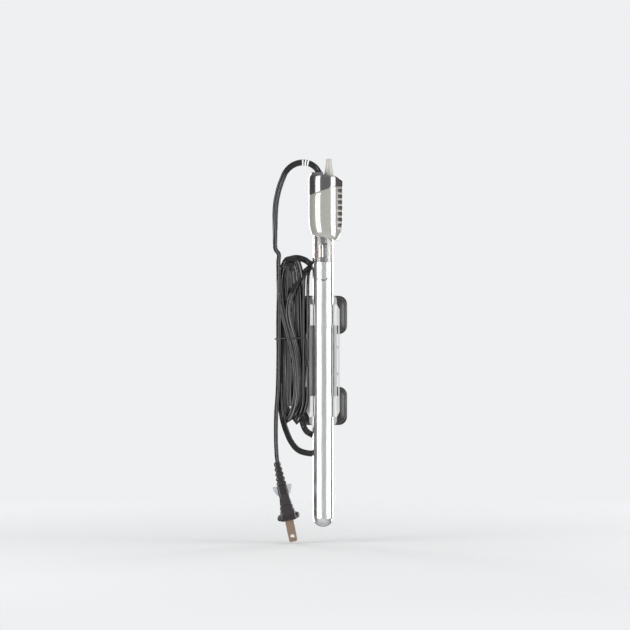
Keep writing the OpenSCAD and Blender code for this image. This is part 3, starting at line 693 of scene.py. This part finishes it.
def loop_path(centre_x, half_w, low, high, y, wobble):
    """One hanging loop: an upright oval that wavers a little, with its ends at the bundle's foot."""
    points = []
    count, gap, squareness = 44, 0.03, 0.55
    for i in range(count + 1):
        a = math.tau * (i / count * (1 - gap) - 0.25 + gap / 2)
        straight = (high - low) / 2 - half_w
        x = centre_x + half_w * math.copysign(abs(math.cos(a)) ** squareness, math.cos(a))
        z = (high + low) / 2 + straight * math.sin(a) + half_w * math.sin(a)
        sway = wobble * math.sin(a * 3 + centre_x + y) * (1 - abs(math.sin(a)) ** 4)
        points.append((x + sway, y + 0.5 * wobble * math.cos(2 * a + y), z))
    return smooth_path(points, 3)


def strand(name, points, roll):
    """One length of the stowed cord, drawn as a smooth curve through its points."""
    piece(name, sweep(smooth_path(points, 8), cord_section(), roll), "cord_black", crease=60)


def hanging_loops():
    """The upright loops of the bundle, in three layers from front to back.

    Each loop is its shift to the right, half width, height above the bundle's foot, drop below its crest,
    depth and wobble.
    """
    mid_x, foot, crest = -24.4, 69.5, 195.6
    front = [(0.2, 9.4, 1.5, 0, 3.0, 0.35), (-0.1, 5.4, 9, 4.6, 2.7, 0.4), (0.3, 1.9, 14, 9, 2.4, 0.2)]
    middle = [(0.7, 7.8, 7, 2.4, 6.0, 0.4), (-0.6, 4.3, 4, 6.5, 5.7, 0.4)]
    back = [(0.6, 8.4, 8.5, 1.2, 9.0, 0.3), (0.2, 5.2, 3, 5.5, 8.8, 0.3)]
    for n, (shift, half_w, up, down, y, wobble) in enumerate(front + middle + back):
        path = loop_path(mid_x + shift, half_w, foot + up, crest - down, y, wobble)
        lean = random.uniform(12, 32)
        shape = sweep(path, cord_section(), lambda t, lean=lean: lean * math.sin(t * 9 + lean))
        piece(f"cord_loop_{n + 1}", shape, "cord_black", crease=60)


def crossing_strands():
    """Two strands that come from behind the tube and cross the front of the bundle."""
    from_tube = [(-1, 9.6, 191), (-6, 9.6, 191.4), (-11, 7.6, 188.3), (-17, 3.4, 181.5), (-22.6, 0.7, 172),
                 (-26, -0.4, 160), (-25.6, -0.6, 149), (-21.6, -0.6, 133), (-18.2, -0.5, 115),
                 (-17.2, -0.3, 99), (-18, 0.3, 87), (-21, 1.6, 79), (-25.4, 4, 75), (-29.4, 7, 78)]
    strand("cord_crossing_1", from_tube, rolling((0, 0), (0.3, 22), (0.7, -24), (1, -10)))
    from_left = [(-27, 5, 193), (-31, 2.6, 189), (-33, 0.4, 179), (-32.6, -0.5, 166), (-29.6, -0.8, 150),
                 (-25.6, -1.2, 135), (-21.6, -0.9, 118), (-20.4, -0.5, 101), (-21.6, 0.2, 86),
                 (-24.4, 1.6, 76.6), (-28, 4, 73.4), (-31.4, 7, 77)]
    strand("cord_crossing_2", from_left, rolling((0, 10), (0.4, -20), (1, 15)))


def front_strands():
    """Two upright strands, edge on, between the bundle and the tube."""
    left = [(-12.6, 4.6, 187.6), (-13.9, 2, 183.6), (-14.6, 0.4, 176), (-14.8, 0.2, 160), (-14.7, 0.2, 125),
            (-14.8, 0.2, 100), (-15, 0.4, 87), (-16.8, 1.6, 79.4), (-20.6, 4.6, 76)]
    right = [(-7.6, 9.6, 189.6), (-9.8, 7.4, 188), (-11, 3.6, 184), (-11.5, 0.2, 177), (-11.6, -0.6, 166),
             (-11.6, -0.6, 120), (-11.7, -0.6, 96), (-12, -0.4, 88), (-13.6, 0.2, 81), (-17, 2.6, 77.4)]
    for n, points in enumerate((left, right)):
        strand(f"cord_front_{n + 1}", points, rolling((0, 20), (0.2, 86), (0.85, 90), (1, 40)))


def outer_strands():
    """The strand over the bundle's crown, and the one that hangs below it and sweeps behind the tube."""
    crown = [(-33, 4, 176), (-32.2, 4, 186), (-28, 4.6, 193.6), (-21.4, 5.6, 196.4), (-14.6, 7.4, 195.2),
             (-8.8, 9.3, 191.6), (-2, 9.65, 189.6)]
    strand("cord_crown", crown, lambda t: 14 * math.sin(t * 5))
    out = [(-33.3, 1.4, 101), (-32.7, 1.6, 88), (-31.2, 2, 76), (-28.6, 3.4, 66.4), (-24.4, 5.4, 56.6),
           (-18.4, 7.8, 49.8), (-9.6, 9.6, 47.4), (-3, 9.65, 48.6), (0.6, 9.65, 53.4)]
    back = [(-1.6, 9.65, 59.4), (-7.6, 9.5, 61.4), (-13.4, 8.2, 65.4), (-16.4, 6, 75), (-16.6, 4, 88),
            (-16.2, 3, 101)]
    strand("cord_sweep", out + back, rolling((0, 40), (0.3, 12), (0.6, 0), (1, 20)))


def twisted_end(phase, top_z):
    """One of the tie's two ends: it winds down round the other, and they part at their tips."""
    steps, turns, length, parting = 69, 5, 20, 0.72
    middle_x, middle_y, wire_r = -13.4, -2.6, 0.42
    path = []
    for i in range(steps + 1):
        t = i / steps
        a = phase + t * math.tau * turns
        spread = 0.55 + 1.1 * max(0, t - parting) * 3
        path.append(Vector((middle_x + 0.5 * math.sin(t * 3) + spread * math.cos(a),
                            middle_y + spread * math.sin(a), top_z - length * t)))
    return sweep(path, circle(wire_r, 8))


def cord_tie():
    """A thin wire round the bundle, its ends twisted together beside the bracket."""
    low, high = size_of("cord_tie")
    z = (low.z + high.z) / 2
    mid = Vector(((low.x + high.x) / 2 + 1, (low.y + high.y) / 2, z))
    half_x, half_y, corner = (high.x - low.x) / 2 - 1.6, (high.y - low.y) / 2 + 0.6, 4.2
    wire_r, waver = 0.5, 0.5
    rings = []
    for i, (u, v) in enumerate(round_rect(half_x, half_y, corner, 10)):
        here = mid + Vector((u, v, waver * math.sin(i / 5)))
        out = Vector((u, v, 0)).normalized()
        rings.append([here + out * a + Vector((0, 0, b)) for a, b in circle(wire_r, 10)])
    ends = [twisted_end(phase, z - 1) for phase in (0, math.pi)]
    shape = joined(loft(rings, wrap=True), *ends)
    piece("cord_tie", shape, "tie_grey", stands_for=["cord_tie"], crease=60)


def cord_grommet():
    """A sleeve with a rounded lip and a slightly dished top."""
    low, high = size_of("cord_grommet")
    centre = ((low.x + high.x) / 2, 0)
    r, top = (high.x - low.x) / 2, high.z
    lip, dish = 0.3, 0.5
    side = [(0, low.z), (r, low.z), (r, top - 0.5)]
    profile = side + arc((r - lip, top - lip), lip, 0, 90, 4) + [(r - 0.6, top - 0.35), (0, top - dish)]
    shape = lathe(profile, centre, 48, wrap=False)
    piece("cord_grommet", shape, "rubber_black", stands_for=["cord_grommet"])


# ---------- plug ----------

PLUG_L = 45.0
PLUG_FACE = next(m for m in frame["record"]["mounts"] if m["name"] == "plug_face")
PLUG_AXIS = Vector(PLUG_FACE["axis"])
PLUG_SIDE = Vector((-PLUG_AXIS.z, 0, PLUG_AXIS.x))
PLUG_START = Vector(PLUG_FACE["pos_m"]) / MM - PLUG_AXIS * PLUG_L


def in_plug(x, y, s):
    """A point of the plug: x across its narrow side, y to the back and s along it from the cord's end."""
    return PLUG_START + PLUG_SIDE * x + Vector((0, y, 0)) + PLUG_AXIS * s


def plug_ring(half_x, half_y, s, corner):
    return [in_plug(u, v, s) for u, v in round_rect(half_x, half_y, corner)]


def plug_body():
    """Ribbed strain relief, a grip that widens towards the face, two grooves and a rounded face block."""
    narrow = [(0, 2.6), (18.6, 3.9), (24.8, 4.0), (27.6, 3.75), (38.5, 5.5), (41, 6.1)]
    wide = [(0, 2.7), (18.6, 4.0), (25, 4.4), (37, 10.4), (40.5, 11.5), (43.6, 11.5)]
    relief_end, relief_pitch, relief_depth = 18.4, 3.7, 0.75
    grooves, groove_depth, groove_w = (33.2, 36.6), 0.6, 0.45
    first, step, corner = 0.6, 0.36, 1.9
    block_start, block_x, block_y, block_corner = 41, 6.1, 11.5, 2.2
    rings = [plug_ring(1.9, 2.0, 0, 1.6), plug_ring(2.4, 2.5, 0.15, 1.7)]
    s = first
    while s < block_start:
        dip = 0
        if s < relief_end:
            dip = relief_depth * max(0, math.cos(s / relief_pitch * math.tau)) ** 0.6
        for groove in grooves:
            dip += groove_depth * math.exp(-((s - groove) / groove_w) ** 2)
        rings.append(plug_ring(line(narrow, s) - dip, line(wide, s) - dip, s, corner))
        s += step
    for s, grow in ((41.0, 0), (42.6, 0.25), (43.8, 0.1), (44.6, -0.25), (PLUG_L, -0.9)):
        rings.append(plug_ring(block_x + grow, block_y + min(0, grow), s, block_corner))
    bumps = [finger_bump(side) for side in (-1, 1)]
    piece("plug_body", joined(loft(rings), *bumps), "plug_black", stands_for=["plug_body"], crease=50)


def line(points, s):
    """Straight interpolation along a list of (position, value)."""
    for (p, a), (q, b) in zip(points, points[1:]):
        if s <= q:
            return a + (b - a) * max(0, s - p) / (q - p)
    return points[-1][1]


def finger_bump(side):
    """A rounded ridge along the plug's face edge, for fingers to pull on."""
    steps, half_length, r, out, at = 12, 9.4, 2.2, 6.4, 42.3
    rings = []
    for i in range(2 * steps + 1):
        t = -1 + i / steps
        ring_r = r * max(0.02, 1 - abs(t) ** 8) ** 0.5
        rings.append([in_plug(side * out + ring_r * a, half_length * t, at + ring_r * b)
                      for a, b in circle(1, 20)])
    return loft(rings)


def plug_collar():
    """Two flared wings between the strain relief and the grip. Their pale grey is a painted highlight on
    their facets.
    """
    root, half_depth, corner = 3.6, 3.2, 0.5
    wings = []
    for side in (-1, 1):
        rings = []
        for reach, s in ((6.7, 18.4), (7.3, 18.6), (7.2, 19.7), (5.3, 24.6), (4.7, 25.2)):
            mid, half = side * (root + reach) / 2, (reach - root) / 2
            rings.append([p + PLUG_SIDE * mid for p in plug_ring(half, half_depth, s, corner)])
        wings.append(loft(rings))
    piece("plug_collar", joined(*wings), "collar_grey", stands_for=["plug_collar"], crease=30, bevel=0.2)


def plug_blades():
    low, high = size_of("plug_blades")
    half_w, thick, length, root, hole_r, hole_from_tip = 3.175, 1.5, 16.4, 6, 1.6, 4
    spacing = high.y - low.y - thick
    start, tip = PLUG_L - root, PLUG_L + length
    blades = [flat_blade(side * spacing / 2, half_w, thick, start, tip, tip - hole_from_tip, hole_r)
              for side in (-1, 1)]
    piece("plug_blades", joined(*blades), "blade_brass", stands_for=["plug_blades"], crease=40, bevel=0.14)


def flat_blade(y, half_w, thick, start, tip, hole_at, hole_r, chamfer=0.9):
    """A flat blade with bevelled tip corners and a round hole, skinned between its outline and the hole."""
    hole = [(x, hole_at + s) for x, s in circle(hole_r, 48)]
    outline = []
    for x, s in hole:
        dx, ds = x / hole_r, (s - hole_at) / hole_r
        reach = min(half_w / abs(dx) if dx else math.inf, (tip - hole_at) / ds if ds > 0 else math.inf,
                    (hole_at - start) / -ds if ds < 0 else math.inf)
        px, ps = dx * reach, hole_at + ds * reach
        over = abs(px) + ps - (half_w + tip - chamfer)
        if over > 0:
            px, ps = px - math.copysign(over / 2, px), ps - over / 2
        outline.append((px, ps))
    front, back = y - thick / 2, y + thick / 2
    edges = ((outline, front), (outline, back), (hole, back), (hole, front))
    return loft([[in_plug(x, depth, s) for x, s in edge] for edge, depth in edges], wrap=True)


# ---------- suction cups ----------

def cup_stem(start):
    """Button and neck, as (half width, half height, y, is round)."""
    button_r, neck_r = 4.6, 3.0
    steps = [(0.3, 0), (button_r - 0.5, 0), (button_r, 0.5), (button_r, 2.0), (button_r - 0.4, 2.5),
             (neck_r, 2.6), (neck_r, 5.0)]
    return [(r, r, start + y, True) for r, y in steps]


def cup_dome(half_w, half_h, start, seal):
    """The cup's back, from its neck out to its rim."""
    throat, rim, steps = 4.0, 1.1, 10
    shoulder = start + 5.2
    out = []
    for i in range(steps + 1):
        t = i / steps
        grow = math.sin(t * math.pi / 2) ** 0.55
        out.append((throat + (half_w - rim - throat) * grow, throat + (half_h - rim - throat) * grow,
                    shoulder + 0.1 + (seal - 1.4 - shoulder) * t ** 1.5, False))
    return out


def cup_rim(half_w, half_h, seal):
    """The thin flared rim that lies on the wall."""
    steps = [(0.35, 1.05), (0.02, 0.45), (0.1, 0.08), (0.6, 0)]
    return [(half_w - inset, half_h - inset, seal - back, False) for inset, back in steps]


def cup_hollow(half_w, half_h, seal):
    """The shallow hollow in the cup's face, from the rim in to its middle."""
    depth, middle, rim, steps = 2.6, 2, 3.6, 7
    out = []
    for i in range(steps + 1):
        t = 1 - i / steps
        out.append((middle + (half_w - rim) * t ** 0.7, middle + (half_h - rim) * t ** 0.7,
                    seal - depth * (1 - t ** 2) - 0.05, False))
    out.append((0.3, 0.3, seal - 2.7, True))
    return out


def suction_cup(node, body):
    """A wide soft cup: button and neck through the bracket, a shallow dome and a thin flared rim."""
    low, high = size_of(node)
    z = (low.z + high.z) / 2
    half_w, half_h = (high.x - low.x) / 2, (high.z - low.z) / 2
    start, seal, corner_r = low.y, high.y, 6.5
    sections = cup_stem(start) + cup_dome(half_w, half_h, start, seal)
    sections += cup_rim(half_w, half_h, seal) + cup_hollow(half_w, half_h, seal)
    rings = []
    for u, v, y, is_round in sections:
        corner = min(u, v) - 0.02 if is_round else min(corner_r, min(u, v) * 0.8)
        rings.append([(a, y, z + b) for a, b in round_rect(u, v, corner, 10)])
    piece(node, loft(rings), "cup_rubber", body, [node], crease=50)


# ---------- carried-over CAD pieces ----------

def carry_over():
    """Gives every CAD node that is still shown its finish, smooth shading and softened edges."""
    slots = {part["node"]: part["material_slot"] for part in frame["record"]["subparts"]}
    soft = {"bracket": 0.35, "thermostat_frame": 0.12, "dial_spindle": 0.1, "ceramic_core": 0.1}
    for node, obj in frame["nodes"].items():
        if obj.hide_render:
            continue
        obj.data.materials.clear()
        obj.data.materials.append(LOOK[slots[node]])
        obj.data.shade_smooth()
        obj.data.set_sharp_from_angle(angle=math.radians(35))
        if node in soft:
            round_edges(obj, soft[node], 40)


# ---------- studio ----------

def pale_floor():
    """A matt pale floor that fades out towards its rim."""
    mat = bpy.data.materials.new("pale_floor")
    mat.use_nodes = True
    nodes, links = mat.node_tree.nodes, mat.node_tree.links
    shader = nodes["Principled BSDF"]
    shader.inputs["Base Color"].default_value = (0.82, 0.82, 0.82, 1)
    shader.inputs["Roughness"].default_value = 0.9
    solid_to, faded_at = 0.1, 0.75
    place = nodes.new("ShaderNodeTexCoord")
    reach = nodes.new("ShaderNodeVectorMath")
    reach.operation = "LENGTH"
    links.new(place.outputs["Object"], reach.inputs[0])
    fade = nodes.new("ShaderNodeMapRange")
    fade.inputs["From Min"].default_value = solid_to
    fade.inputs["From Max"].default_value = faded_at
    fade.inputs["To Min"].default_value = 1
    fade.inputs["To Max"].default_value = 0
    links.new(reach.outputs["Value"], fade.inputs["Value"])
    links.new(fade.outputs["Result"], shader.inputs["Alpha"])
    return mat


def room_light(nodes, links, around=0.17, in_front=0.32, above=0.38, below=0.4):
    """Brightness of the room by direction: dim around, brighter in front, above and below."""
    place = nodes.new("ShaderNodeTexCoord")
    split = nodes.new("ShaderNodeSeparateXYZ")
    links.new(place.outputs["Generated"], split.inputs[0])

    def rise(output, start, end, amount):
        ramp = nodes.new("ShaderNodeMapRange")
        ramp.interpolation_type = "SMOOTHSTEP"
        ramp.inputs["From Min"].default_value = start
        ramp.inputs["From Max"].default_value = end
        ramp.inputs["To Max"].default_value = amount
        links.new(split.outputs[output], ramp.inputs["Value"])
        return ramp.outputs["Result"]

    total = rise("Y", 0.1, -0.85, in_front)
    for part in (rise("Z", 0.2, 0.8, above), rise("Z", -0.25, -0.8, below)):
        more = nodes.new("ShaderNodeMath")
        links.new(total, more.inputs[0])
        links.new(part, more.inputs[1])
        total = more.outputs["Value"]
    base = nodes.new("ShaderNodeMath")
    base.inputs[1].default_value = around
    links.new(total, base.inputs[0])
    return base.outputs["Value"]


def floor():
    """A round pale floor just under the object. Reflections and the glass don't see it."""
    gap, radius = 0.001, 2.4
    floor_z = cad_bounds[0][2] - gap
    bpy.ops.mesh.primitive_circle_add(vertices=96, radius=radius, fill_type="NGON",
                                      location=(0, 0, floor_z))
    disc = bpy.context.object
    disc.name = "floor"
    disc.data.materials.append(pale_floor())
    disc.visible_glossy = False
    disc.visible_transmission = False


def studio():
    """Pale floor, a room that lights and reflects by direction, and four tall softboxes."""
    bpy.context.scene.view_settings.view_transform = "Standard"
    floor()
    world = bpy.data.worlds.new("studio")
    bpy.context.scene.world = world
    world.use_nodes = True
    nodes, links = world.node_tree.nodes, world.node_tree.links
    ground = nodes["Background"]
    ground.inputs["Color"].default_value = (0.97, 0.985, 1, 1)
    links.new(room_light(nodes, links), ground.inputs["Strength"])
    seen = nodes.new("ShaderNodeBackground")
    seen.inputs["Color"].default_value = (0.86, 0.87, 0.88, 1)
    seen.inputs["Strength"].default_value = 1.0
    rays = nodes.new("ShaderNodeLightPath")
    pick = nodes.new("ShaderNodeMixShader")
    links.new(rays.outputs["Is Camera Ray"], pick.inputs["Fac"])
    links.new(ground.outputs["Background"], pick.inputs[1])
    links.new(seen.outputs["Background"], pick.inputs[2])
    links.new(pick.outputs["Shader"], nodes["World Output"].inputs["Surface"])
    softbox("left_softbox", -48, 1.0, 0.7, 0.9, 9.5)
    softbox("right_softbox", 72, 1.0, 0.74, 0.9, 10)
    softbox("left_rim_softbox", -152, 1.0, 0.3, 1.0, 4)
    softbox("right_rim_softbox", 148, 1.0, 0.3, 1.0, 4)


def softbox(name, azimuth, distance, width, height, power):
    """A tall light near the object's middle height. Azimuth 0 is the camera's side, positive is right."""
    light = bpy.data.lights.new(name, "AREA")
    light.shape = "RECTANGLE"
    light.size = width
    light.size_y = height
    light.energy = power
    lamp = bpy.data.objects.new(name, light)
    a = math.radians(azimuth)
    above_middle = 0.05
    lamp_z = (cad_bounds[0][2] + cad_bounds[1][2]) / 2 + above_middle
    lamp.location = (distance * math.sin(a), -distance * math.cos(a), lamp_z)
    lamp.rotation_euler = (math.pi / 2, 0, a)
    lamp.visible_camera = False
    bpy.context.scene.collection.objects.link(lamp)


def camera():
    """Square-on to the front through a long lens, aimed a little above the object's middle."""
    low, high = cad_bounds
    middle = Vector(((low[0] + high[0]) / 2, 0, (low[2] + high[2]) / 2))
    aim = middle + Vector((0.0042, 0, 0.0269))
    distance, view_width, sensor = 3.0, 0.4788, 36
    data = bpy.data.cameras.new("camera")
    data.sensor_width = sensor
    data.lens = sensor * distance / view_width
    eye = bpy.data.objects.new("camera", data)
    eye.location = aim + Vector((0, -distance, 0))
    eye.rotation_euler = (math.pi / 2, 0, 0)
    bpy.context.scene.collection.objects.link(eye)
    bpy.context.scene.camera = eye


# ---------- the heater, piece by piece ----------

glass_tube()
mirror_lining()
printed_line("level_mark", 179.9, -126, -44, 0.6, 0.3)
printed_line("print_mark_left", 205.4, -142, -122, 0.9, 0.5)
printed_line("print_mark_right", 206.4, -93, -66, 0.5, 0.45)
head_shell()
head_top_cover()
side_panel()
side_ribs()
temperature_dial()
supply_lead()
hanging_loops()
crossing_strands()
front_strands()
outer_strands()
cord_tie()
cord_grommet()
plug_body()
plug_collar()
plug_blades()
suction_cup("suction_cup_upper", "upper_cup")
suction_cup("suction_cup_lower", "lower_cup")
carry_over()
studio()
camera()
